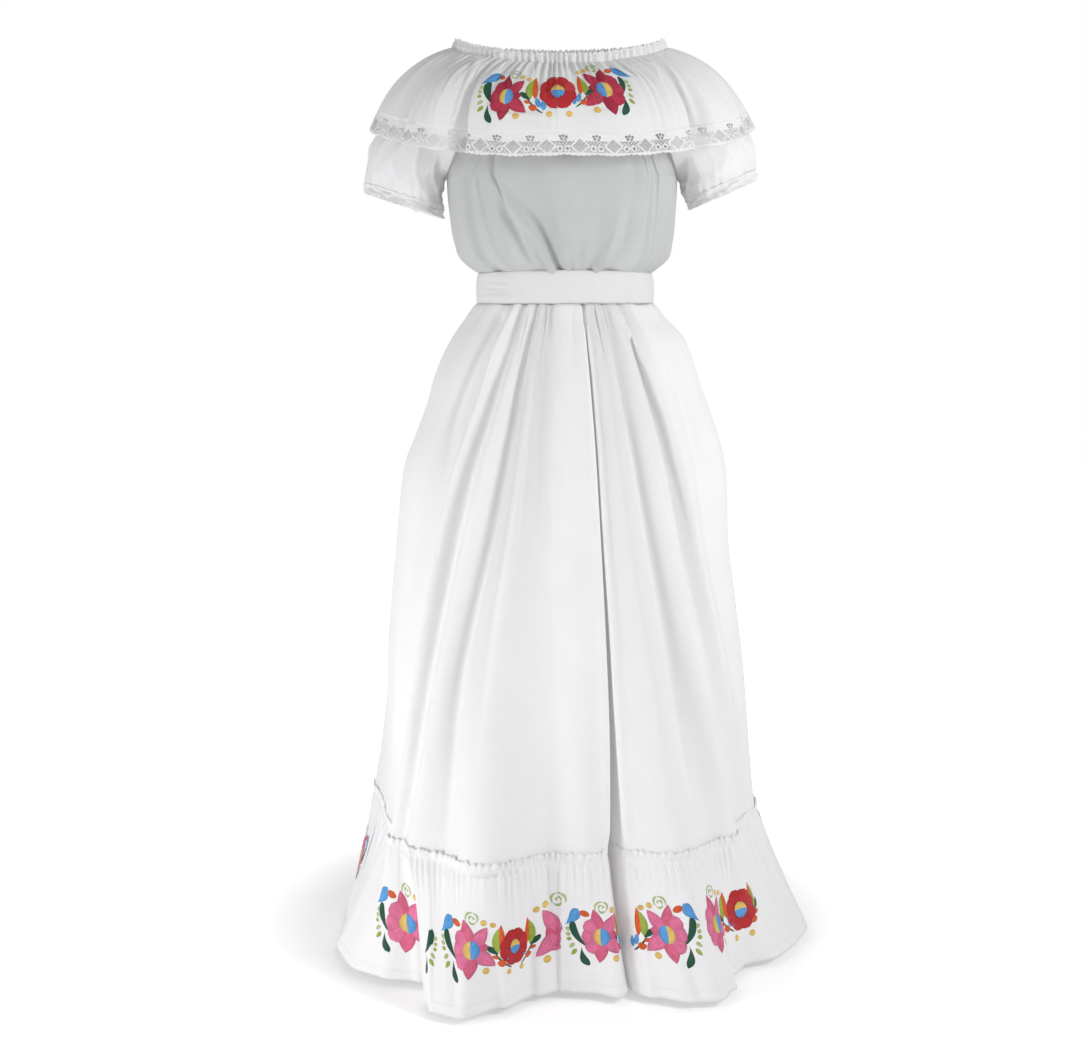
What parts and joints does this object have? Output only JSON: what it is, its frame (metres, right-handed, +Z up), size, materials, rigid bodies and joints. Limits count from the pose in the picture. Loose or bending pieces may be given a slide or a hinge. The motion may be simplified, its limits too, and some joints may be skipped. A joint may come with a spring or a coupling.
{
  "type": "pollera dress",
  "caption": "Off-shoulder blouse with an embroidered lace-edged flounce and puff sleeves, tucked into a long pleated skirt with a gathered embroidered hem ruffle.",
  "frame": {"origin": "centre of the waistband at its middle height, where the wearer's waist holds the dress", "axes": "+Z up, the front faces -Y, +X towards the wearer's left"},
  "size_m": [0.672, 0.7314, 1.252],
  "materials": {
    "cotton": "matt",
    "sheer_cotton": "matt",
    "lace": "matt"
  },
  "bodies": {
    "root": {"waistband_front": "cotton", "waistband_back": "cotton", "skirt_front": "cotton", "skirt_back": "cotton", "ruffle_front": "cotton", "ruffle_back": "cotton", "bodice_front": "sheer_cotton", "bodice_back": "sheer_cotton", "neck_casing": "cotton", "flounce_front": "cotton", "flounce_back": "cotton", "lace_front": "lace", "lace_back": "lace", "sleeve_left": "sheer_cotton", "sleeve_right": "sheer_cotton", "cuff_left": "cotton", "cuff_right": "cotton"}
  },
  "joints": []
}
